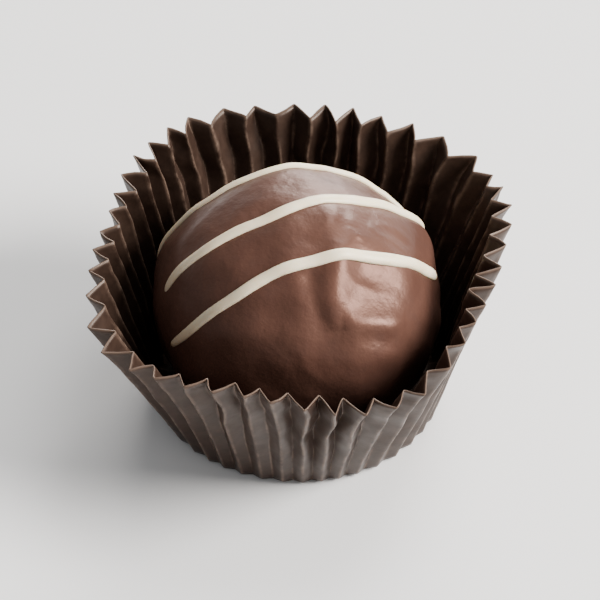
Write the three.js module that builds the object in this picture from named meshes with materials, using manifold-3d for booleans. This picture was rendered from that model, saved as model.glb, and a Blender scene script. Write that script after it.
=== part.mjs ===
// A hand-dipped chocolate truffle with three lines of white drizzle, sitting in its pleated paper case.
// Millimetres, +Z up. The origin is the middle of the part's footprint, on the surface that it stands on.
// X runs along the row that such truffles are packed in, Y across it.
import * as THREE from "three";
import { mergeVertices } from "three/addons/utils/BufferGeometryUtils.js";
import Module from "manifold-3d";

// Driving dimensions of the truffle: a ball, wider than it is tall, that set on a flat sheet.
const TRUFFLE_WIDTH = 28;
const TRUFFLE_DEPTH = 27.6;
const BALL_HEIGHT = 25.2;
const BASE_CUT = 2.2; // how much of the ball's underside is flat
const FOOT_SPREAD = 0.5; // chocolate that ran out round the base
const FOOT_HEIGHT = 1.2;
const LUMP_HEIGHT = 0.16; // gentle unevenness all over

// Driving dimensions of the paper case: a round floor, and a wall squared by the box that it was
// pushed into.
const FLOOR_RADIUS = 13.5;
const RIM_HALF_X = 18.4;
const RIM_HALF_Y = 19.8;
const WALL_SLANT = 19; // length of the wall, up its slope
const RIM_SQUARENESS = 3.1; // exponent of the rim's superellipse, where 2 is an ellipse
const PLEATS = 44;
const PLEAT_DEPTH_RIM = 1.9; // crest to valley
const PLEAT_DEPTH_FLOOR = 0.5;
const PAPER = 0.35;
const SEAT_GAP = 0.3; // between the truffle and the paper

// How finely each form is cut into facets.
const BALL_COLUMNS = 60;
const BALL_ROWS = 36;
const BEAD_SIDES = 8;
const BEAD_STEPS = 40;
const COLUMNS_PER_PLEAT = 2;

const radians = THREE.MathUtils.degToRad;

// A direction from the truffle's middle: turn is from +X towards +Y, rise is above the horizontal, both
// in degrees.
function direction(turn, rise) {
  const flat = Math.cos(radians(rise));
  return new THREE.Vector3(
    flat * Math.cos(radians(turn)),
    flat * Math.sin(radians(turn)),
    Math.sin(radians(rise)),
  );
}

// Where the coating swells or sinks: a round spot, spread degrees wide, that stands height millimetres
// proud.
const SPOTS = [
  { at: direction(-32, 46), spread: 15, height: -0.46 }, // pressed facet, on the side that faces the light
  { at: direction(22, 50), spread: 22, height: -0.5 }, // flatter shoulder
  { at: direction(-44, 11), spread: 18, height: 0.7 }, // bulge below the fold
  { at: direction(-7, 61), spread: 7, height: 0.2 }, // small bump beside the crest
  { at: direction(10, 14), spread: 15, height: -0.35 },
  { at: direction(33, 18), spread: 12, height: 0.35 },
  { at: direction(95, 40), spread: 26, height: -0.3 },
  { at: direction(183, 12), spread: 15, height: 0.5 }, // side where the coating ran thickest
  { at: direction(-110, 25), spread: 30, height: 0.25 },
];

// Crests, folds and grooves of the coating: each follows a line of directions, given as turn and rise.
const RIDGES = [
  { along: [[-6, 70], [-44, 58], [-52, 46], [-54, 33]], spread: 5, height: 0.6 },
  { along: [[-54, 36], [-40, 32], [-24, 22]], spread: 5.5, height: 0.42 },
  { along: [[-64, 60], [-64, 48], [-61, 34]], spread: 5, height: -0.2 },
  { along: [[-50, 27], [-40, 24], [-27, 14]], spread: 4, height: -0.16 },
  { along: [[-18, 60], [-12, 50], [-6, 36]], spread: 5, height: 0.2 },
].map((ridge) => ({ ...ridge, along: ridge.along.map((stop) => direction(...stop)) }));

// Angle in degrees between a direction and the nearest point of the arc from one direction to another.
function angleToArc(here, from, to) {
  const span = to.clone().sub(from);
  const share = THREE.MathUtils.clamp(here.clone().sub(from).dot(span) / span.lengthSq(), 0, 1);
  const nearest = from.clone().addScaledVector(span, share).normalize();
  return THREE.MathUtils.radToDeg(here.angleTo(nearest));
}

const bell = (distance, spread) => Math.exp(-((distance / spread) ** 2));

// How far the coating stands proud of the plain ball in a direction.
function relief(here) {
  const lumps = Math.sin(4.1 * here.x + 2.3 * here.z + 0.6) * Math.sin(3.7 * here.y - 1.9 * here.z + 1.1);
  let height = LUMP_HEIGHT * lumps;
  for (const spot of SPOTS)
    height += spot.height * bell(THREE.MathUtils.radToDeg(here.angleTo(spot.at)), spot.spread);
  for (const ridge of RIDGES) {
    let distance = Infinity;
    for (let i = 1; i < ridge.along.length; i++)
      distance = Math.min(distance, angleToArc(here, ridge.along[i - 1], ridge.along[i]));
    height += ridge.height * bell(distance, ridge.spread);
  }
  return height;
}

// The point of the truffle's surface in a direction from its middle, measured from the middle of its
// flat base.
function onTruffle(here) {
  const halfHeight = BALL_HEIGHT / 2;
  const point = new THREE.Vector3(TRUFFLE_WIDTH / 2, TRUFFLE_DEPTH / 2, halfHeight).multiply(here);
  point.addScaledVector(here, relief(here));
  point.z = Math.max(0, point.z + halfHeight - BASE_CUT);
  const baseRadius = (TRUFFLE_WIDTH / 2) * Math.sqrt(1 - (1 - BASE_CUT / halfHeight) ** 2);
  const spread = 1 + (FOOT_SPREAD / baseRadius) * bell(point.z, FOOT_HEIGHT);
  point.x *= spread;
  point.y *= spread;
  return point;
}

// Outward normal of the truffle's surface, from its slope over a small step.
function normalOnTruffle(here) {
  const side = new THREE.Vector3(0, 0, 1).cross(here).normalize();
  const up = here.clone().cross(side);
  const step = 0.02;
  const slope = (way) =>
    onTruffle(here.clone().addScaledVector(way, step).normalize()).sub(
      onTruffle(here.clone().addScaledVector(way, -step).normalize()),
    );
  return slope(side).cross(slope(up)).normalize();
}

// Lines of drizzle. Each lies near a plane that cuts the ball: heading is the way it runs, lean tips the
// plane over and offset moves it off the ball's middle. It strays from that plane in a slow sway and a
// quicker wander. Its span is the angles at its right and left ends, where 90 is its top, and its width
// is given at those two ends. Offset, sway and wander are shares of the ball's radius.
const DRIZZLE = [
  { heading: 25.4, lean: -12, offset: 0.377, sway: 0.049, phase: 5.57, span: [14, 166], width: [1, 0.7] },
  { heading: 35.8, lean: 3.9, offset: 0.107, sway: 0.024, phase: 5.42, span: [18, 160], width: [1.2, 1.1] },
  { heading: 34, lean: 22.3, offset: -0.12, sway: 0.053, phase: 2.85, span: [16, 173], width: [1.2, 1.1] },
];
const BEAD_RISE = 0.45; // how far a line stands above the coating
const BEAD_SUNK = 0.35; // how far it reaches into the coating, which joins the two
const BEAD_DIVE = 0.25; // how much deeper its two ends go
const BEAD_WANDER = 0.005; // the quicker wander

// The direction at an angle along a line of drizzle.
function alongDrizzle(line, angle) {
  const across = direction(line.heading + 90, line.lean);
  const forward = direction(line.heading, 0);
  const up = forward.clone().cross(across);
  const along = radians(angle);
  const sway = line.sway * Math.sin(3 * along + line.phase);
  const stray = sway + BEAD_WANDER * Math.sin(11 * along + 2 * line.phase);
  const radius = Math.sqrt(1 - line.offset ** 2);
  return across
    .multiplyScalar(line.offset + stray)
    .addScaledVector(forward, radius * Math.cos(along))
    .addScaledVector(up, radius * Math.sin(along))
    .normalize();
}

// Moves every vertex of a geometry to the place that its row and column, each from 0 to 1, stand for.
function reshape(geometry, place) {
  const position = geometry.getAttribute("position");
  const uv = geometry.getAttribute("uv");
  for (let i = 0; i < position.count; i++) {
    const point = place(uv.getX(i) % 1, uv.getY(i), new THREE.Vector3().fromBufferAttribute(position, i));
    position.setXYZ(i, point.x, point.y, point.z);
  }
  return geometry;
}

function truffleBall() {
  const ball = new THREE.SphereGeometry(1, BALL_COLUMNS, BALL_ROWS).rotateX(Math.PI / 2);
  return reshape(ball, (column, row, point) => onTruffle(point.normalize()));
}

// A line of drizzle: a ball drawn out along the line, so that its ends are round.
function drizzleBead(line) {
  const bead = new THREE.SphereGeometry(1, BEAD_SIDES, BEAD_STEPS);
  return reshape(bead, (column, row) => {
    const angle = THREE.MathUtils.lerp(...line.span, row);
    const here = alongDrizzle(line, angle);
    const ahead = onTruffle(alongDrizzle(line, angle + 1)).sub(onTruffle(alongDrizzle(line, angle - 1)));
    const normal = normalOnTruffle(here);
    const side = normal.clone().cross(ahead).normalize();
    const width = THREE.MathUtils.lerp(...line.width, row);
    const fullness = Math.sqrt(1 - (2 * row - 1) ** 8);
    const turn = 2 * Math.PI * column;
    const middle = (BEAD_RISE - BEAD_SUNK) / 2 - BEAD_DIVE * (1 - fullness);
    const halfHeight = ((BEAD_RISE + BEAD_SUNK) / 2) * fullness;
    return onTruffle(here)
      .addScaledVector(side, (width / 2) * fullness * Math.cos(turn))
      .addScaledVector(normal, middle + halfHeight * Math.sin(turn));
  });
}

// Where a pleat stands round the case once it has slipped from its even place, and how deep it is folded
// there, as a share of the usual depth.
function pleatAt(turn) {
  const slip = (0.3 * Math.sin(3 * turn + 1.2) + 0.22 * Math.sin(7 * turn + 4.4)) * (Math.PI / PLEATS);
  const depth = 1 + 0.2 * Math.sin(5 * turn + 0.7) + 0.16 * Math.sin(11 * turn + 2.0);
  return { turn: turn + slip, depth };
}

// Radius of the case in a horizontal direction, where share is 0 at the floor and 1 at the rim.
function caseRadius(turn, share) {
  const flare = 0.82 * share + 0.18 * share ** 2;
  const halfX = THREE.MathUtils.lerp(FLOOR_RADIUS, RIM_HALF_X, flare);
  const halfY = THREE.MathUtils.lerp(FLOOR_RADIUS, RIM_HALF_Y, flare);
  const power = THREE.MathUtils.lerp(2, RIM_SQUARENESS, share);
  return (
    (Math.abs(Math.cos(turn)) / halfX) ** power +
    (Math.abs(Math.sin(turn)) / halfY) ** power
  ) ** (-1 / power);
}

// A point in the middle of the pleated paper wall. Its slope has the same length all round, so the rim is
// lower where the case flares most.
function onWall(column, share) {
  const phase = (column * PLEATS) % 1;
  const inward = 1 - 4 * Math.abs(phase - 0.5); // 1 in a valley, -1 on a crest
  const pleat = pleatAt(2 * Math.PI * column);
  const reach = caseRadius(pleat.turn, 1) - FLOOR_RADIUS;
  const height = Math.sqrt(WALL_SLANT ** 2 - reach ** 2) * share;
  const depth = THREE.MathUtils.lerp(PLEAT_DEPTH_FLOOR, PLEAT_DEPTH_RIM * pleat.depth, share);
  const radius = caseRadius(pleat.turn, share) - (inward * depth) / 2;
  return new THREE.Vector3(radius * Math.cos(pleat.turn), radius * Math.sin(pleat.turn), height);
}

// The case, turned as a lathe profile that runs out under the floor, up the wall, over the rim and back
// to the middle. Each row of the profile then takes its own place on the floor or the pleated wall.
const CASE_ROWS = [
  { floor: 0, side: -1 },
  { wall: 0, side: -1 },
  { wall: 0.2, side: -1 },
  { wall: 0.45, side: -1 },
  { wall: 0.7, side: -1 },
  { wall: 1, side: -1 },
  { wall: 1, side: 1 },
  { wall: 0.7, side: 1 },
  { wall: 0.45, side: 1 },
  { wall: 0.2, side: 1 },
  { wall: 0, side: 1 },
  { floor: 0, side: 1 },
];

function pleatedCase() {
  const profile = CASE_ROWS.map((row, i) => new THREE.Vector2(i % (CASE_ROWS.length - 1) ? 1 : 0, i));
  const columns = PLEATS * COLUMNS_PER_PLEAT;
  const lathe = new THREE.LatheGeometry(profile, columns);
  return reshape(lathe, (column, rowShare) => {
    const row = CASE_ROWS[Math.round(rowShare * (CASE_ROWS.length - 1))];
    const inside = row.side > 0;
    if (row.floor === 0) return new THREE.Vector3(0, 0, inside ? PAPER : 0);
    const point = onWall(column, row.wall);
    const outward = new THREE.Vector3(point.x, point.y, 0).normalize();
    point.addScaledVector(outward, inside ? -PAPER / 2 : PAPER / 2);
    if (row.wall === 0) point.z = inside ? PAPER : 0;
    return point;
  });
}

const wasm = await Module();
wasm.setup();

function toSolid(geometry) {
  geometry.deleteAttribute("normal");
  geometry.deleteAttribute("uv");
  const merged = mergeVertices(geometry, 1e-4);
  return new wasm.Manifold(
    new wasm.Mesh({
      numProp: 3,
      vertProperties: new Float32Array(merged.getAttribute("position").array),
      triVerts: new Uint32Array(merged.index.array),
    }),
  );
}

function toGeometry(solid) {
  const mesh = solid.getMesh();
  return new THREE.BufferGeometry()
    .setAttribute("position", new THREE.BufferAttribute(mesh.vertProperties, 3))
    .setIndex(new THREE.BufferAttribute(mesh.triVerts, 1));
}

const chocolate = new THREE.MeshStandardMaterial({ color: 0x5a3b30, roughness: 0.36, metalness: 0 });
const casePaper = new THREE.MeshStandardMaterial({ color: 0x3a2a25, roughness: 0.42, metalness: 0 });

const beads = DRIZZLE.map((line) => toSolid(drizzleBead(line)));
const truffleSolid = beads.reduce((whole, bead) => whole.add(bead), toSolid(truffleBall()));
const truffle = new THREE.Mesh(toGeometry(truffleSolid), chocolate);
truffle.name = "truffle";
truffle.position.z = PAPER + SEAT_GAP;

const paperCase = new THREE.Mesh(pleatedCase(), casePaper);
paperCase.name = "paper_case";

const confection = new THREE.Group();
confection.add(truffle, paperCase);
const middle = new THREE.Box3().setFromObject(confection).getCenter(new THREE.Vector3());
confection.position.set(-middle.x, -middle.y, 0);
export default confection;
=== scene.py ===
from math import pi

import bmesh
import bpy
import numpy as np
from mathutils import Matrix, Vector


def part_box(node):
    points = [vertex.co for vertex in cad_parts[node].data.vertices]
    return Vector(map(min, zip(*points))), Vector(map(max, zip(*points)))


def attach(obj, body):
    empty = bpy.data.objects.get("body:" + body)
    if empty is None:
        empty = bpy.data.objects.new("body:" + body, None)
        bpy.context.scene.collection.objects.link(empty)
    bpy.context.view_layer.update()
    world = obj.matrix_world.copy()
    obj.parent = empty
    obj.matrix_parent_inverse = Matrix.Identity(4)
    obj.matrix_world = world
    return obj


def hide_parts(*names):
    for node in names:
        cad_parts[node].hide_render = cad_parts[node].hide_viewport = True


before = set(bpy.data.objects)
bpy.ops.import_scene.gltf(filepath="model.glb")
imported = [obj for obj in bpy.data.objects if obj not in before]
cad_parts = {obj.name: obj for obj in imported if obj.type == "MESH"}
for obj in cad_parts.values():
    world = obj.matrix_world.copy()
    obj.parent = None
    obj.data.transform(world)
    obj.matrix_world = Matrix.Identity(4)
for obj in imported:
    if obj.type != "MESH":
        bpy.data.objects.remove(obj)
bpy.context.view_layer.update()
scene = bpy.context.scene
mm = 0.001

# camera on the front right, looking down on the truffle as the photo does
cameraView = {
    "swing": 15,  # degrees round from straight in front
    "climb": 44,  # degrees above the table
    "distance": 1.27,
    "frameWidth": 0.058,  # what fits across the picture, at the truffle
    "aim": (0.0, 0.0, 0.0112),
    "clip": (0.05, 20),
}


def towards(turn, rise):
    turn, rise = np.radians(turn), np.radians(rise)
    flat = np.cos(rise)
    return np.array([flat * np.cos(turn), flat * np.sin(turn), np.sin(rise)])


def makeCamera(view):
    back = Vector(towards(view["swing"] - 90, view["climb"]))
    data = bpy.data.cameras.new("camera")
    data.lens = data.sensor_width * view["distance"] / view["frameWidth"]
    data.clip_start, data.clip_end = view["clip"]
    camera = bpy.data.objects.new("camera", data)
    camera.location = Vector(view["aim"]) + back * view["distance"]
    camera.rotation_euler = (-back).to_track_quat("-Z", "Y").to_euler()
    scene.collection.objects.link(camera)
    scene.camera = camera


makeCamera(cameraView)
print("camera set")


# nodes: a value is either a socket to link or a plain setting
def wire(tree, value, socket):
    if isinstance(value, bpy.types.NodeSocket):
        tree.links.new(value, socket)
    else:
        socket.default_value = value


def step(tree, kind, settings=None, **values):
    node = tree.nodes.new(kind)
    for name, setting in (settings or {}).items():
        setattr(node, name, setting)
    for name, value in values.items():
        wire(tree, value, node.inputs[name.replace("_", " ")])
    return node


def calculator(tree):
    def calculate(operation, *values):
        node = step(tree, "ShaderNodeMath", {"operation": operation})
        for value, socket in zip(values, node.inputs):
            wire(tree, value, socket)
        return node.outputs[0]

    return calculate


def vectorCalculator(tree):
    def calculate(operation, *values):
        node = step(tree, "ShaderNodeVectorMath", {"operation": operation})
        scaled = operation == "SCALE"
        sockets = [node.inputs[0], node.inputs["Scale"]] if scaled else node.inputs
        for value, socket in zip(values, sockets):
            wire(tree, value, socket)
        return node.outputs[0]

    return calculate


# materials
def startMaterial(name):
    material = bpy.data.materials.new(name)
    material.use_nodes = True
    tree = material.node_tree
    place = tree.nodes.new("ShaderNodeTexCoord").outputs["Object"]
    return material, tree, tree.nodes["Principled BSDF"], place


def attribute(tree, name):
    return step(tree, "ShaderNodeAttribute", {"attribute_name": name}).outputs["Fac"]


def noise(tree, place, scale, detail=3.0, roughness=0.55):
    return step(
        tree, "ShaderNodeTexNoise", Vector=place, Scale=scale, Detail=detail, Roughness=roughness
    ).outputs["Fac"]


def spread(tree, value, low, high, newLow=0.0, newHigh=1.0):
    node = step(tree, "ShaderNodeMapRange", Value=value)
    ends = {"From Min": low, "From Max": high, "To Min": newLow, "To Max": newHigh}
    for name, setting in ends.items():
        node.inputs[name].default_value = setting
    return node.outputs["Result"]


def blendColours(tree, share, first, second):
    node = step(tree, "ShaderNodeMix", {"data_type": "RGBA"})
    wire(tree, share, node.inputs["Factor"])
    wire(tree, first, node.inputs[6])
    wire(tree, second, node.inputs[7])
    return node.outputs[2]


def bump(tree, height, strength, distance, under=None):
    node = step(tree, "ShaderNodeBump", Height=height, Strength=strength, Distance=distance)
    if under is not None:
        wire(tree, under, node.inputs["Normal"])
    return node.outputs["Normal"]


# in the looks, a texture is its scale, detail and roughness,
# and a range is the two values that become 0 and 1, or the next two
def mottle(tree, place, marks):
    return spread(tree, noise(tree, place, *marks["texture"]), *marks["range"])


def relief(tree, place, marks, under=None):
    height = noise(tree, place, *marks["texture"])
    return bump(tree, height, marks["strength"], marks["depth"], under)


milkChocolateLook = {
    "body": (0.074, 0.0345, 0.025, 1),
    "warm": (0.094, 0.044, 0.031, 1),
    "dull": (0.068, 0.035, 0.028, 1),
    "clouds": {"texture": (130, 4), "range": (0.35, 0.68)},
    "haze": {"texture": (420, 5, 0.65), "range": (0.5, 0.78, 0, 0.6)},
    "roughness": {"texture": (260, 4, 0.6), "range": (0.3, 0.7, 0.31, 0.45)},
    "specular": 0.45,
    "shine": (1.0, 0.56, 0.43, 1),
    "glaze": 0.02,
    "glazeRoughness": 0.22,
    "waves": {"texture": (760, 3, 0.5), "strength": 0.6, "depth": 0.16 * mm},
    "grain": {"texture": (3800, 3, 0.6), "strength": 0.22, "depth": 0.02 * mm},
    "pinholes": {"scale": 620.0, "range": (0.0, 0.16), "strength": 0.25, "depth": 0.04 * mm},
}


def milkChocolate(look):
    material, tree, shader, place = startMaterial("milk_chocolate")
    colour = blendColours(tree, mottle(tree, place, look["clouds"]), look["body"], look["warm"])
    colour = blendColours(tree, mottle(tree, place, look["haze"]), colour, look["dull"])
    wire(tree, colour, shader.inputs["Base Color"])
    wire(tree, mottle(tree, place, look["roughness"]), shader.inputs["Roughness"])
    shader.inputs["Specular IOR Level"].default_value = look["specular"]
    shader.inputs["Specular Tint"].default_value = look["shine"]
    shader.inputs["Coat Weight"].default_value = look["glaze"]
    shader.inputs["Coat Roughness"].default_value = look["glazeRoughness"]
    waves = relief(tree, place, look["waves"])
    grain = relief(tree, place, look["grain"], waves)
    holes = look["pinholes"]
    cells = step(tree, "ShaderNodeTexVoronoi", Vector=place, Scale=holes["scale"])
    pits = spread(tree, cells.outputs["Distance"], *holes["range"])
    pitted = bump(tree, pits, holes["strength"], holes["depth"], grain)
    wire(tree, pitted, shader.inputs["Normal"])
    return material


whiteChocolateLook = {
    "body": (0.92, 0.79, 0.57, 1),
    "thin": (0.83, 0.65, 0.43, 1),
    "tail": (0.5, 0.33, 0.22, 1),
    "clouds": {"texture": (700, 3), "range": (0.48, 0.75, 0, 0.55)},
    "seeThrough": (0.2, 1.0, 0, 0.5),  # a range: how far a line's thin end darkens
    "roughness": {"texture": (900, 3), "range": (0.3, 0.7, 0.34, 0.5)},
    "glow": 0.2,
    "glowColours": (1.0, 0.7, 0.4),
    "glowDepth": 0.7 * mm,
    "flow": {"texture": (1500, 3), "strength": 0.3, "depth": 0.05 * mm},
}


def whiteChocolate(look):
    material, tree, shader, place = startMaterial("white_chocolate")
    colour = blendColours(tree, mottle(tree, place, look["clouds"]), look["body"], look["thin"])
    seeThrough = spread(tree, attribute(tree, "tail"), *look["seeThrough"])
    wire(tree, blendColours(tree, seeThrough, colour, look["tail"]), shader.inputs["Base Color"])
    wire(tree, mottle(tree, place, look["roughness"]), shader.inputs["Roughness"])
    shader.inputs["Subsurface Weight"].default_value = look["glow"]
    shader.inputs["Subsurface Radius"].default_value = look["glowColours"]
    shader.inputs["Subsurface Scale"].default_value = look["glowDepth"]
    wire(tree, relief(tree, place, look["flow"]), shader.inputs["Normal"])
    return material


glassineLook = {
    "paper": (0.025, 0.0145, 0.0105, 1),
    "thin": (0.043, 0.0255, 0.0185, 1),
    # paler tone on pleat crests and the rim's top: partly creases rubbed pale, partly a painted
    # highlight
    "wornAndHighlight": (0.2, 0.135, 0.1, 1),
    "pulp": {"texture": (900, 6, 0.7), "range": (0.35, 0.7)},
    "scuffs": {"texture": (650, 4, 0.7), "range": (0.4, 0.62)},
    "crest": (0.7, 0.98),  # a range: where a pleat's edge is rubbed pale and carries a painted highlight
    "rim": (0.985, 1.0),  # a range: where the wall's top is rubbed pale and carries a painted highlight
    # how strongly the rubbing and the painted highlight lighten the paper
    "wearAndHighlight": 0.5,
    "roughness": {"texture": (480, 4, 0.6), "range": (0.3, 0.7, 0.28, 0.42)},
    "specular": 0.26,
    "shine": (1.0, 0.84, 0.74, 1),
    "cockle": {"texture": (420, 4, 0.55), "strength": 0.22, "depth": 0.1 * mm},
    "fibres": {"texture": (5200, 4, 0.7), "strength": 0.2, "depth": 0.015 * mm},
}


def glassinePaper(look):
    material, tree, shader, place = startMaterial("brown_glassine")
    calc = calculator(tree)
    colour = blendColours(tree, mottle(tree, place, look["pulp"]), look["paper"], look["thin"])
    scuffs = mottle(tree, place, look["scuffs"])
    # pleat crests and the rim's top get the paler tone: partly rubbed paper, partly a painted
    # highlight
    crest = spread(tree, calc("ABSOLUTE", attribute(tree, "fold")), *look["crest"])
    rim = spread(tree, attribute(tree, "upWall"), *look["rim"])
    wearAndHighlight = calc("MINIMUM", calc("MAXIMUM", calc("MULTIPLY", crest, scuffs), rim), 1.0)
    colour = blendColours(tree, calc("MULTIPLY", wearAndHighlight, look["wearAndHighlight"]), colour, look["wornAndHighlight"])
    wire(tree, colour, shader.inputs["Base Color"])
    wire(tree, mottle(tree, place, look["roughness"]), shader.inputs["Roughness"])
    shader.inputs["Specular IOR Level"].default_value = look["specular"]
    shader.inputs["Specular Tint"].default_value = look["shine"]
    cockle = relief(tree, place, look["cockle"])
    wire(tree, relief(tree, place, look["fibres"], cockle), shader.inputs["Normal"])
    return material


chocolate = milkChocolate(milkChocolateLook)
ivory = whiteChocolate(whiteChocolateLook)
glassine = glassinePaper(glassineLook)
print("materials ready")


# the dipped truffle: a ball that set on a flat sheet, with the swells and folds of its coating
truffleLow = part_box("truffle")[0]
truffle = {
    # the ball, in millimetres
    "size": (28.0, 27.6, 25.2),  # the whole ball, before its underside is cut flat
    "middle": (-0.093, -0.143),
    "baseCut": 2.2,
    "footSpread": 0.5,
    "footHeight": 1.2,
    "fineness": 7,  # subdivisions
    # two crossed waves: how fast each runs sideways and upwards, and its shift
    "lumpHeight": 0.16,
    "lumpWaves": ((4.1, 2.3, 0.6), (3.7, -1.9, 1.1)),
    # how much lower a fold is at its two ends
    "foldFade": 0.75,
    "foldFadePower": 4,
    # a few dozen slow waves in seeded directions; a finer one is lower
    "seed": 5,
    "ripples": 36,
    "ripplePitch": (9, 26),
    "rippleHeight": 0.03,
    "rippleHeightPitch": 11,  # the pitch that has this height
}

# swells and hollows: turn, rise, spread in degrees, height in millimetres
swells = [
    (-35, 46, 16, -0.46),  # pressed patch, which catches the window's light
    (22, 50, 22, -0.5),
    (-44, 11, 18, 0.7),  # bulge below the fold
    (-7, 61, 7, 0.2),
    (10, 14, 15, -0.35),
    (33, 18, 12, 0.35),
    (95, 40, 26, -0.3),
    (183, 12, 15, 0.5),  # side where the coating ran thickest
    (-110, 25, 30, 0.25),
]

# crests and grooves: the turns and rises they pass, spread in degrees, height in millimetres
crests = [
    ([(-6, 70), (-46, 58), (-55, 46), (-57, 33)], 6.8, 0.62),  # main crest, round the patch
    ([(-54, 36), (-40, 32), (-24, 22)], 5.5, 0.42),
    ([(-66, 60), (-66, 48), (-63, 34)], 4, -0.32),  # groove left of the main crest
    ([(-50, 27), (-40, 24), (-27, 14)], 4, -0.16),
    ([(-18, 60), (-12, 50), (-6, 36)], 5, 0.07),
]

# finer marks that the solid leaves out
fineCrests = [
    ([(40, 78), (-20, 76), (-60, 73)], 4.5, 0.12),
    ([(30, 70), (-8, 71), (-32, 67)], 3.6, -0.18),
    ([(-8, 64), (-12, 62)], 2.6, 0.1),
    ([(8, 60), (12, 57)], 3.0, 0.1),
    ([(-12, 48), (-18, 36), (-27, 26)], 6.5, -0.13),
    ([(-42, 54), (-36, 47), (-27, 40)], 2.6, 0.12),
    ([(-50, 50), (-48, 42), (-50, 35)], 2.2, 0.03),
    ([(-60, 24), (-50, 17), (-36, 15), (-24, 20)], 3.2, 0.05),
    ([(4, 58), (10, 48), (8, 38)], 2.8, 0.12),
    ([(14, 60), (21, 48), (19, 36)], 2.8, 0.11),
    ([(-74, 30), (-72, 18), (-62, 8)], 3.5, 0.1),
    ([(120, 60), (95, 52), (70, 55)], 3.2, 0.12),
    ([(150, 40), (165, 28), (172, 14)], 3.2, 0.12),
    ([(60, 30), (75, 18), (95, 12)], 3.0, 0.13),
]
pointsPerStretch = 8  # from one stop of a line to the next


def bell(distance, width):
    return np.exp(-((distance / width) ** 2))


def angleTo(rays, aims):
    return np.degrees(np.arccos(np.clip(np.sum(rays * aims, axis=1), -1, 1)))


def easedLine(stops):
    # one smooth curve through the stops
    ways = np.array([towards(*stop) for stop in stops])
    ways = np.vstack([2 * ways[0] - ways[1], ways, 2 * ways[-1] - ways[-2]])
    points = [ways[1]]
    for before, here, there, beyond in zip(ways, ways[1:], ways[2:], ways[3:]):
        for t in np.linspace(0, 1, pointsPerStretch + 1)[1:]:
            bend = (2 * before - 5 * here + 4 * there - beyond) * t**2
            turn = (3 * here - before - 3 * there + beyond) * t**3
            points.append((2 * here + (there - before) * t + bend + turn) / 2)
    return np.array(points)


def ridgeAlong(rays, stops, width, proud):
    # a fold along a line, which fades out at both ends
    points = easedLine(stops)
    nearest = np.full(len(rays), 180.0)
    runs = np.zeros(len(rays))
    for number, (first, last) in enumerate(zip(points, points[1:])):
        span = last - first
        share = np.clip((rays - first) @ span / (span @ span), 0, 1)
        closest = first + share[:, None] * span
        closest /= np.linalg.norm(closest, axis=1)[:, None]
        angles = angleTo(rays, closest)
        nearer = angles < nearest
        nearest[nearer] = angles[nearer]
        runs[nearer] = (number + share[nearer]) / (len(points) - 1)
    fade = 1 - truffle["foldFade"] * np.abs(2 * runs - 1) ** truffle["foldFadePower"]
    return proud * bell(nearest, width) * fade


def coatingRelief(rays):
    x, y, z = rays.T
    (fastX, riseX, shiftX), (fastY, riseY, shiftY) = truffle["lumpWaves"]
    height = truffle["lumpHeight"] * np.sin(fastX * x + riseX * z + shiftX)
    height *= np.sin(fastY * y + riseY * z + shiftY)
    for turn, rise, width, proud in swells:
        height += proud * bell(angleTo(rays, towards(turn, rise)), width)
    for line, width, proud in crests + fineCrests:
        height += ridgeAlong(rays, line, width, proud)
    return height + fineUnevenness(rays)


def fineUnevenness(rays):
    # the slow waves that the dipped coating settled in
    draw = np.random.default_rng(truffle["seed"])
    height = np.zeros(len(rays))
    for _ in range(truffle["ripples"]):
        way = draw.normal(size=3)
        way /= np.linalg.norm(way)
        pitch = draw.uniform(*truffle["ripplePitch"])
        size = truffle["rippleHeight"] * (truffle["rippleHeightPitch"] / pitch)
        height += size * np.sin(pitch * (rays @ way) + draw.uniform(0, 2 * pi))
    return height


def placeOnTruffle(rays):
    half = np.array(truffle["size"]) / 2
    places = rays * half + rays * coatingRelief(rays)[:, None]
    places[:, 2] = np.maximum(0, places[:, 2] + half[2] - truffle["baseCut"])
    baseRadius = half[0] * np.sqrt(1 - (1 - truffle["baseCut"] / half[2]) ** 2)
    foot = 1 + truffle["footSpread"] / baseRadius * bell(places[:, 2], truffle["footHeight"])
    places[:, :2] *= foot[:, None]
    places[:, :2] += truffle["middle"]
    return places * mm + np.array([0, 0, truffleLow.z])


def newObject(name, mesh):
    piece = bpy.data.objects.new(name, mesh)
    scene.collection.objects.link(piece)
    return piece


def makeCoat():
    build = bmesh.new()
    bmesh.ops.create_icosphere(build, subdivisions=truffle["fineness"], radius=1)
    mesh = bpy.data.meshes.new("truffle_coat")
    build.to_mesh(mesh)
    build.free()
    rays = np.empty(len(mesh.vertices) * 3)
    mesh.vertices.foreach_get("co", rays)
    rays = rays.reshape(-1, 3)
    rays /= np.linalg.norm(rays, axis=1)[:, None]
    mesh.vertices.foreach_set("co", placeOnTruffle(rays).ravel())
    mesh.polygons.foreach_set("use_smooth", [True] * len(mesh.polygons))
    mesh.materials.append(chocolate)
    mesh.update()
    return newObject("truffle_coat", mesh)


coat = makeCoat()
print("truffle dipped:", len(coat.data.vertices), "points")


# Geometry Nodes: a tree with named inputs, and the plain mesh that it makes
socketKinds = {
    float: "NodeSocketFloat",
    int: "NodeSocketInt",
    bpy.types.Object: "NodeSocketObject",
}
weldDistance = 1e-7  # corners nearer than this become one
smoothNoise = (2.0, 0.5)  # detail and roughness


def startTree(name, sizes):
    tree = bpy.data.node_groups.new(name, "GeometryNodeTree")
    tree.is_modifier = True
    face = tree.interface
    for label, value in sizes.items():
        kind = socketKinds[type(value)]
        socket = face.new_socket(name=label, in_out="INPUT", socket_type=kind)
        if kind != "NodeSocketObject":
            socket.default_value = value
    face.new_socket(name="Geometry", in_out="OUTPUT", socket_type="NodeSocketGeometry")
    return tree, tree.nodes.new("NodeGroupInput").outputs


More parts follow.
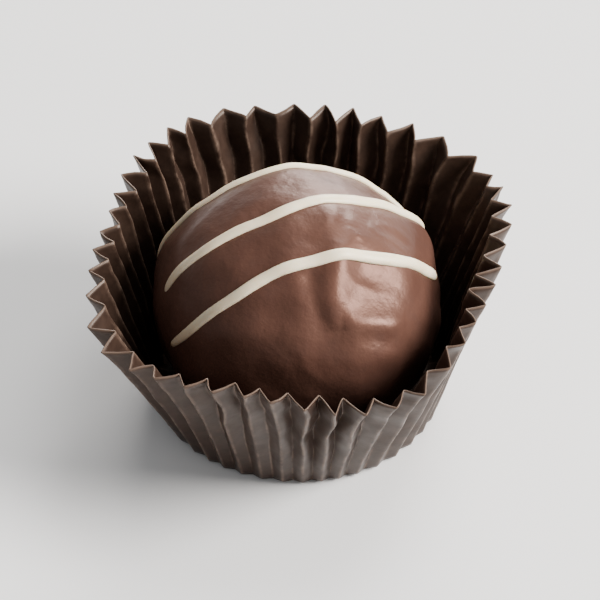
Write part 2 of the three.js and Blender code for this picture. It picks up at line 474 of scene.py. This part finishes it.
def endTree(tree, geometry, material):
    smooth = step(tree, "GeometryNodeSetShadeSmooth", Geometry=geometry)
    real = step(tree, "GeometryNodeRealizeInstances", Geometry=smooth.outputs[0])
    painted = step(
        tree, "GeometryNodeSetMaterial", Geometry=real.outputs[0], Material=material
    )
    wire(tree, painted.outputs[0], tree.nodes.new("NodeGroupOutput").inputs[0])


def gridPlaces(tree, calc):
    # how far each point of a flat grid is along it and up it, from 0 to 1
    spot = tree.nodes.new("GeometryNodeInputPosition").outputs[0]
    place = step(tree, "ShaderNodeSeparateXYZ", Vector=spot)
    return calc("ADD", place.outputs["X"], 0.5), calc("ADD", place.outputs["Y"], 0.5)


def keep(tree, geometry, name, value):
    return step(
        tree, "GeometryNodeStoreNamedAttribute", Geometry=geometry, Name=name, Value=value
    ).outputs[0]


def grow(name, tree, sizes, thickness=0.0):
    maker = newObject(name, bpy.data.meshes.new(name))
    nodes = maker.modifiers.new("nodes", "NODES")
    nodes.node_group = tree
    inputs = [item for item in tree.interface.items_tree if item.in_out == "INPUT"]
    identifiers = {item.name: item.identifier for item in inputs}
    for label, value in sizes.items():
        nodes[identifiers[label]] = value
    if thickness:
        wall = maker.modifiers.new("wall", "SOLIDIFY")
        wall.thickness = thickness
        wall.offset = 0
    graph = bpy.context.evaluated_depsgraph_get()
    mesh = bpy.data.meshes.new_from_object(
        maker.evaluated_get(graph), preserve_all_data_layers=True, depsgraph=graph
    )
    bpy.data.objects.remove(maker)
    return mesh


def faceOutwards(mesh):
    build = bmesh.new()
    build.from_mesh(mesh)
    bmesh.ops.remove_doubles(build, verts=build.verts, dist=weldDistance)
    if build.calc_volume(signed=True) < 0:
        bmesh.ops.reverse_faces(build, faces=build.faces)
    openEdges = sum(not edge.is_manifold for edge in build.edges)
    build.to_mesh(mesh)
    build.free()
    return openEdges


# drizzle: each line runs where a plane cuts the ball, and lies on the coat that a ray finds there
drizzle = {
    "Coat": coat,
    "Steps": 170,
    "Sides": 18,
    "Rise": 0.43 * mm,
    "Sunk": 0.35 * mm,
    "Dive": 0.25 * mm,
    "Slow Waves": 3.0,
    "Quick Waves": 11.0,
    "Wander": 0.005,
    "Uneven": 0.16,
    "Uneven Scale": 330.0,
    "Bluntness": 18.0,  # the higher, the blunter a line's two ends
    "Tail": 2.5,  # the higher, the later a line thins towards its left end
    "Look Ahead": 1.0,  # degrees each way, to find how the line runs
    "Ray Start": 1.6,  # times the ball's own half size
    "Ray Length": 0.05,
    "Weld": 1e-6,
}
drizzleLines = [
    {"Heading": 25.4, "Lean": -12.0, "Offset": 0.377, "Sway": 0.049, "Phase": 5.57,
     "Start": 14.0, "End": 166.0, "Start Width": 1.05 * mm, "End Width": 0.65 * mm},
    {"Heading": 35.8, "Lean": 3.9, "Offset": 0.107, "Sway": 0.024, "Phase": 5.42,
     "Start": 18.0, "End": 160.0, "Start Width": 1.3 * mm, "End Width": 0.95 * mm},
    {"Heading": 34.0, "Lean": 22.3, "Offset": -0.12, "Sway": 0.053, "Phase": 2.85,
     "Start": 16.0, "End": 173.0, "Start Width": 1.3 * mm, "End Width": 0.8 * mm},
]


def drizzleTree():
    tree, given = startTree("drizzle_line", {**drizzle, **drizzleLines[0]})
    calc, vector = calculator(tree), vectorCalculator(tree)
    half = np.array(truffle["size"]) / 2 * mm
    middle = [place * mm for place in truffle["middle"]]
    centre = (*middle, truffleLow.z + half[2] - truffle["baseCut"] * mm)
    coatMesh = step(tree, "GeometryNodeObjectInfo", Object=given["Coat"]).outputs["Geometry"]

    # the line's plane: forward and up lie in it, and across is square to it
    heading = calc("RADIANS", given["Heading"])
    lean = calc("RADIANS", given["Lean"])
    cosHeading, sinHeading = calc("COSINE", heading), calc("SINE", heading)
    cosLean, sinLean = calc("COSINE", lean), calc("SINE", lean)

    def joined(x, y, z):
        return step(tree, "ShaderNodeCombineXYZ", X=x, Y=y, Z=z).outputs[0]

    forward = joined(cosHeading, sinHeading, 0.0)
    across = joined(
        calc("MULTIPLY", calc("MULTIPLY", sinHeading, cosLean), -1.0),
        calc("MULTIPLY", cosHeading, cosLean),
        sinLean,
    )
    up = vector("CROSS_PRODUCT", forward, across)
    offset = calc("ABSOLUTE", given["Offset"])
    radius = calc("SQRT", calc("SUBTRACT", 1.0, calc("POWER", offset, 2.0)))

    def onCoat(angle):
        turn = calc("RADIANS", angle)
        slow = calc("SINE", calc("MULTIPLY_ADD", turn, given["Slow Waves"], given["Phase"]))
        quickTurn = calc("MULTIPLY", turn, given["Quick Waves"])
        quick = calc("SINE", calc("MULTIPLY_ADD", given["Phase"], 2.0, quickTurn))
        wander = calc("MULTIPLY", given["Wander"], quick)
        stray = calc("MULTIPLY_ADD", given["Sway"], slow, wander)
        ray = vector("SCALE", across, calc("ADD", given["Offset"], stray))
        for way, share in ((forward, "COSINE"), (up, "SINE")):
            reached = vector("SCALE", way, calc("MULTIPLY", radius, calc(share, turn)))
            ray = vector("ADD", ray, reached)
        ray = vector("MULTIPLY", vector("NORMALIZE", ray), tuple(half))
        start = vector("ADD", vector("SCALE", ray, given["Ray Start"]), centre)
        hit = step(tree, "GeometryNodeRaycast")
        wire(tree, coatMesh, hit.inputs["Target Geometry"])
        wire(tree, start, hit.inputs["Source Position"])
        wire(tree, vector("SCALE", ray, -1.0), hit.inputs["Ray Direction"])
        wire(tree, given["Ray Length"], hit.inputs["Ray Length"])
        return hit.outputs["Hit Position"]

    grid = step(tree, "GeometryNodeMeshGrid", Size_X=1.0, Size_Y=1.0)
    wire(tree, given["Steps"], grid.inputs["Vertices X"])
    wire(tree, given["Sides"], grid.inputs["Vertices Y"])
    along, around = gridPlaces(tree, calc)
    beadTurn = calc("MULTIPLY", around, 2 * pi)
    reach = calc("SUBTRACT", given["End"], given["Start"])
    angle = calc("MULTIPLY_ADD", along, reach, given["Start"])
    here = onCoat(angle)
    ahead = onCoat(calc("ADD", angle, given["Look Ahead"]))
    behind = onCoat(calc("SUBTRACT", angle, given["Look Ahead"]))
    run = vector("NORMALIZE", vector("SUBTRACT", ahead, behind))
    fromCentre = vector("SUBTRACT", here, centre)
    outward = vector("NORMALIZE", vector("DIVIDE", fromCentre, tuple(half)))
    side = vector("NORMALIZE", vector("CROSS_PRODUCT", outward, run))
    normal = vector("CROSS_PRODUCT", run, side)

    # a bead as wide and high as the line is there, which dives into the coat at both ends
    fromMiddle = calc("ABSOLUTE", calc("MULTIPLY_ADD", along, 2.0, -1.0))
    endRound = calc("SUBTRACT", 1.0, calc("POWER", fromMiddle, given["Bluntness"]))
    fullness = calc("SQRT", calc("MAXIMUM", endRound, 0.0))
    lumps = noise(tree, here, given["Uneven Scale"], *smoothNoise)
    lumps = calc("MULTIPLY_ADD", lumps, 2.0, -1.0)
    uneven = calc("MULTIPLY_ADD", lumps, given["Uneven"], 1.0)
    thinning = calc("POWER", along, given["Tail"])
    narrowed = calc("SUBTRACT", given["End Width"], given["Start Width"])
    taper = calc("MULTIPLY_ADD", thinning, narrowed, given["Start Width"])
    width = calc("MULTIPLY", calc("MULTIPLY", taper, uneven), fullness)
    halfTall = calc("MULTIPLY", calc("ADD", given["Rise"], given["Sunk"]), 0.5)
    halfTall = calc("MULTIPLY", halfTall, fullness)
    halfTall = calc("MULTIPLY", halfTall, calc("DIVIDE", taper, given["Start Width"]))
    dive = calc("MULTIPLY", given["Dive"], calc("SUBTRACT", 1.0, fullness))
    lift = calc("MULTIPLY", calc("SUBTRACT", given["Rise"], given["Sunk"]), 0.5)
    lift = calc("MULTIPLY_ADD", halfTall, calc("SINE", beadTurn), calc("SUBTRACT", lift, dive))
    sideways = calc("MULTIPLY", calc("MULTIPLY", width, 0.5), calc("COSINE", beadTurn))
    push = vector("ADD", vector("SCALE", side, sideways), vector("SCALE", normal, lift))

    marked = keep(tree, grid.outputs["Mesh"], "tail", thinning)
    point = vector("ADD", here, push)
    bead = step(tree, "GeometryNodeSetPosition", Geometry=marked, Position=point)
    closed = step(
        tree, "GeometryNodeMergeByDistance", Geometry=bead.outputs[0], Distance=given["Weld"]
    )
    endTree(tree, closed.outputs[0], ivory)
    return tree


def makeDrizzle():
    tree = drizzleTree()
    whole = bmesh.new()
    for line in drizzleLines:
        mesh = grow("drizzle_line", tree, {**drizzle, **line})
        openEdges = faceOutwards(mesh)
        print("drizzle line:", len(mesh.polygons), "faces,", openEdges, "open edges")
        whole.from_mesh(mesh)
    mesh = bpy.data.meshes.new("drizzle")
    whole.to_mesh(mesh)
    whole.free()
    mesh.materials.append(ivory)
    return newObject("drizzle", mesh)


lines = makeDrizzle()
print("drizzle piped")


# the paper case: a round floor, and a wall in pleats that flares to a squared rim
caseLow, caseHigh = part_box("paper_case")
paperCase = {
    "Floor Radius": 13.5 * mm,
    "Rim Half X": 18.4 * mm,
    "Rim Half Y": 19.8 * mm,
    "Wall Slant": 19.0 * mm,
    "Squareness": 3.1,
    "Pleats": 44,
    "Rim Depth": 1.9 * mm,
    "Floor Depth": 0.5 * mm,
    "Mean Depth": 0.96,  # times the depths above
    "Crispness": 0.992,
    "Floor Share": 0.2,  # of the rows, from the middle to the edge of the floor
    "Heel": 0.045,
    "Pleat Start": 6.0,  # the higher, the nearer to the floor's edge the pleats begin
    "Floor Dome": 0.42 * mm,
    "Floor Ruffle": 0.09 * mm,
    "Creasing": 0.16 * mm,
    "Columns": 12,
    "Rows": 44,
    "Seed": 3.0,
    "Waver Start": 3.0,  # the higher, the nearer to the rim it wavers
    "Seed Rise": 0.7,  # how fast the noise changes up the wall
    "Weld": 2e-6,
}
paperThickness = 0.12 * mm
foldCrowding = 0.8  # how much the columns crowd towards the folds
flareBend = 0.18  # the share of the flare that comes late, near the rim

# slow waves round the case: times round, shift, size
paperWaves = {
    "slip": ((3.0, 1.2, 0.3), (7.0, 4.4, 0.22)),
    "depth": ((5.0, 0.7, 0.2), (11.0, 2.0, 0.16)),
}

# slow noise over the case: scale, size, shift
paperDrifts = {
    "lean": (5.0, 0.8, 0.0),
    "depth": (9.0, 0.35, 4.0),
    "dents": (2.6, 5.0, 9.0),
    "rim": (14.0, 0.5 * mm, 2.0),
}


def caseTree():
    tree, given = startTree("pleated_case", paperCase)
    calc, vector = calculator(tree), vectorCalculator(tree)
    grid = step(tree, "GeometryNodeMeshGrid", Size_X=1.0, Size_Y=1.0)
    columns = calc("ADD", calc("MULTIPLY", given["Pleats"], given["Columns"]), 1.0)
    wire(tree, columns, grid.inputs["Vertices X"])
    wire(tree, given["Rows"], grid.inputs["Vertices Y"])
    steps, up = gridPlaces(tree, calc)

    # columns crowd towards the folds, so that a fold is crisp
    evenPleat = calc("MULTIPLY", steps, given["Pleats"])
    crowd = calc("SINE", calc("MULTIPLY", evenPleat, 4 * pi))
    pleat = calc("ADD", evenPleat, calc("MULTIPLY", crowd, -foldCrowding / (4 * pi)))
    turn = calc("MULTIPLY", calc("DIVIDE", pleat, given["Pleats"]), 2 * pi)

    def waves(kind):
        first, second = (
            calc("MULTIPLY", calc("SINE", calc("MULTIPLY_ADD", turn, times, shift)), size)
            for times, shift, size in paperWaves[kind]
        )
        return calc("ADD", first, second)

    slip = waves("slip")
    depthShare = calc("ADD", waves("depth"), 1.0)

    # how far up the wall: 0 on the floor, 1 at the rim, with a soft heel between them
    wallShare = calc("SUBTRACT", 1.0, given["Floor Share"])
    wallRun = calc("DIVIDE", calc("SUBTRACT", up, given["Floor Share"]), wallShare)
    heel = calc("POWER", given["Heel"], 2.0)
    softened = calc("SQRT", calc("ADD", calc("MULTIPLY", wallRun, wallRun), heel))
    share = calc("MULTIPLY", calc("ADD", wallRun, softened), 0.5)
    floorRun = calc("MINIMUM", calc("DIVIDE", up, given["Floor Share"]), 1.0)

    # the same slow noise on both ends of the seam, because it is read round a circle
    ring = step(tree, "ShaderNodeCombineXYZ", X=calc("COSINE", turn), Y=calc("SINE", turn))
    climb = calc("MULTIPLY_ADD", share, given["Seed Rise"], given["Seed"])
    wire(tree, climb, ring.inputs["Z"])

    def drift(kind):
        scale, size, shift = paperDrifts[kind]
        spot = vector("ADD", ring.outputs[0], (shift, shift, shift))
        value = noise(tree, spot, scale, *smoothNoise)
        return calc("MULTIPLY", calc("SUBTRACT", value, 0.5), size)

    pleatAngle = calc("DIVIDE", 2 * pi, given["Pleats"])
    lean = calc("MULTIPLY", calc("MULTIPLY", drift("lean"), share), pleatAngle)
    slipped = calc("MULTIPLY_ADD", calc("MULTIPLY", slip, 0.5), pleatAngle, turn)
    turned = calc("ADD", slipped, lean)
    cosine, sine = calc("COSINE", turned), calc("SINE", turned)

    # how far the wall's middle is from the axis, at a level from 0 on the floor to 1 at the rim
    def squared(level):
        late = calc("MULTIPLY", level, level)
        flare = calc("MULTIPLY_ADD", late, flareBend, calc("MULTIPLY", level, 1 - flareBend))
        power = calc("MULTIPLY_ADD", level, calc("SUBTRACT", given["Squareness"], 2.0), 2.0)

        def part(direction, rim):
            widening = calc("SUBTRACT", given[rim], given["Floor Radius"])
            size = calc("MULTIPLY_ADD", flare, widening, given["Floor Radius"])
            return calc("POWER", calc("DIVIDE", calc("ABSOLUTE", direction), size), power)

        total = calc("ADD", part(cosine, "Rim Half X"), part(sine, "Rim Half Y"))
        return calc("POWER", total, calc("DIVIDE", -1.0, power))

    # the paper is equally long up the wall all round, so the rim is lowest where it flares most
    reach = calc("SUBTRACT", squared(1.0), given["Floor Radius"])
    slantSquared = calc("MULTIPLY", given["Wall Slant"], given["Wall Slant"])
    tall = calc("SQRT", calc("SUBTRACT", slantSquared, calc("MULTIPLY", reach, reach)))

    # each pleat is a rounded zigzag, 1 on a crest and -1 in a valley
    zigzag = calc("COSINE", calc("MULTIPLY", pleat, 2 * pi))
    fold = calc("ARCSINE", calc("MULTIPLY", zigzag, given["Crispness"]))
    fold = calc("DIVIDE", fold, calc("ARCSINE", given["Crispness"]))
    rimDepth = calc("MULTIPLY", given["Rim Depth"], depthShare)
    deepening = calc("SUBTRACT", rimDepth, given["Floor Depth"])
    depth = calc("MULTIPLY_ADD", share, deepening, given["Floor Depth"])
    depth = calc("MULTIPLY", depth, calc("ADD", given["Mean Depth"], drift("depth")))
    onWall = calc("POWER", floorRun, given["Pleat Start"])
    push = calc("MULTIPLY", calc("MULTIPLY", fold, depth), calc("MULTIPLY", onWall, 0.5))
    dent = calc("MULTIPLY", calc("MULTIPLY", drift("dents"), given["Creasing"]), share)
    radius = calc("MULTIPLY", squared(share), floorRun)
    radius = calc("ADD", radius, calc("ADD", push, dent))

    # the floor is domed and ruffled, and the rim wavers
    dome = calc("SUBTRACT", 1.0, calc("POWER", floorRun, 2.0))
    dome = calc("MULTIPLY", given["Floor Dome"], dome)
    ruffle = calc("MULTIPLY", fold, calc("MULTIPLY", onWall, given["Floor Ruffle"]))
    ruffle = calc("MULTIPLY", ruffle, calc("SUBTRACT", 1.0, share))
    height = calc("ADD", calc("MULTIPLY", tall, share), calc("ADD", dome, ruffle))
    waver = calc("MULTIPLY", drift("rim"), calc("POWER", share, given["Waver Start"]))
    height = calc("MAXIMUM", calc("ADD", height, waver), 0.0)
    x, y = calc("MULTIPLY", radius, cosine), calc("MULTIPLY", radius, sine)
    point = step(tree, "ShaderNodeCombineXYZ", X=x, Y=y, Z=height)

    marked = keep(tree, grid.outputs["Mesh"], "fold", fold)
    marked = keep(tree, marked, "upWall", share)
    bent = step(tree, "GeometryNodeSetPosition", Geometry=marked, Position=point.outputs[0])
    closed = step(
        tree, "GeometryNodeMergeByDistance", Geometry=bent.outputs[0], Distance=given["Weld"]
    )
    endTree(tree, closed.outputs[0], glassine)
    return tree


def makeCase():
    mesh = grow("pleated_case", caseTree(), paperCase, paperThickness)
    openEdges = faceOutwards(mesh)
    # the pleated rim is centred on the footprint, and the paper stands on the table
    points = np.empty(len(mesh.vertices) * 3)
    mesh.vertices.foreach_get("co", points)
    points = points.reshape(-1, 3)
    middle = (points.min(axis=0) + points.max(axis=0)) / 2
    footprint = np.array([caseLow.x + caseHigh.x, caseLow.y + caseHigh.y]) / 2
    points[:, :2] += footprint - middle[:2]
    points[:, 2] += caseLow.z - points[:, 2].min()
    mesh.vertices.foreach_set("co", points.ravel())
    mesh.update()
    print("paper case:", len(mesh.polygons), "faces,", openEdges, "open edges")
    return newObject("pleated_case", mesh)


case = makeCase()
print("case folded")


# pale table and soft light
studio = {
    "tableTone": (0.94, 0.94, 0.94, 1),
    "tableRoughness": {"texture": (40, 3), "range": (0.3, 0.7, 0.55, 0.65)},
    "tableHalfWidth": 3,
    "tableSquares": 8,
    "tableDrop": 0.05 * mm,  # below the case, so that the two faces don't share a plane
    "roomTone": (0.96, 0.98, 1.0, 1),
    "roomStrength": 0.36,
}

# where each lamp stands: turn and rise from the truffle in degrees, distance, size, watts, tint
lamps = {
    "window": (8, 34, 0.75, 0.4, 16.0, (1.0, 0.96, 0.92)),
    "overhead": (72, 55, 0.9, 0.42, 3.5, (1.0, 0.98, 0.96)),
    "bounce": (-40, 24, 0.9, 1.2, 1.0, (1.0, 0.98, 0.96)),
    "back": (92, 19, 1.1, 0.6, 12.0, (1.0, 0.96, 0.92)),
}


def makeTable():
    mesh = bpy.data.meshes.new("table")
    build = bmesh.new()
    squares = studio["tableSquares"]
    bmesh.ops.create_grid(
        build, x_segments=squares, y_segments=squares, size=studio["tableHalfWidth"]
    )
    build.to_mesh(mesh)
    build.free()
    material, tree, shader, place = startMaterial("pale_table")
    shader.inputs["Base Color"].default_value = studio["tableTone"]
    wire(tree, mottle(tree, place, studio["tableRoughness"]), shader.inputs["Roughness"])
    mesh.materials.append(material)
    table = newObject("table", mesh)
    table.location.z = caseLow.z - studio["tableDrop"]


def makeLamps():
    for name, (turn, rise, distance, size, watts, tint) in lamps.items():
        data = bpy.data.lights.new(name, "AREA")
        data.shape = "DISK"
        data.size, data.energy, data.color = size, watts, tint
        lamp = bpy.data.objects.new(name, data)
        way = Vector(towards(turn, rise))
        lamp.location = way * distance
        lamp.rotation_euler = way.to_track_quat("Z", "Y").to_euler()
        scene.collection.objects.link(lamp)
    world = bpy.data.worlds.new("room")
    world.use_nodes = True
    room = world.node_tree.nodes["Background"]
    room.inputs["Color"].default_value = studio["roomTone"]
    room.inputs["Strength"].default_value = studio["roomStrength"]
    scene.world = world


makeTable()
makeLamps()
print("table and lamps set")

for piece, node, slot in (
    (coat, "truffle", "chocolate"),
    (lines, "truffle", "chocolate"),
    (case, "paper_case", "case_paper"),
):
    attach(piece, "root")
    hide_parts(node)
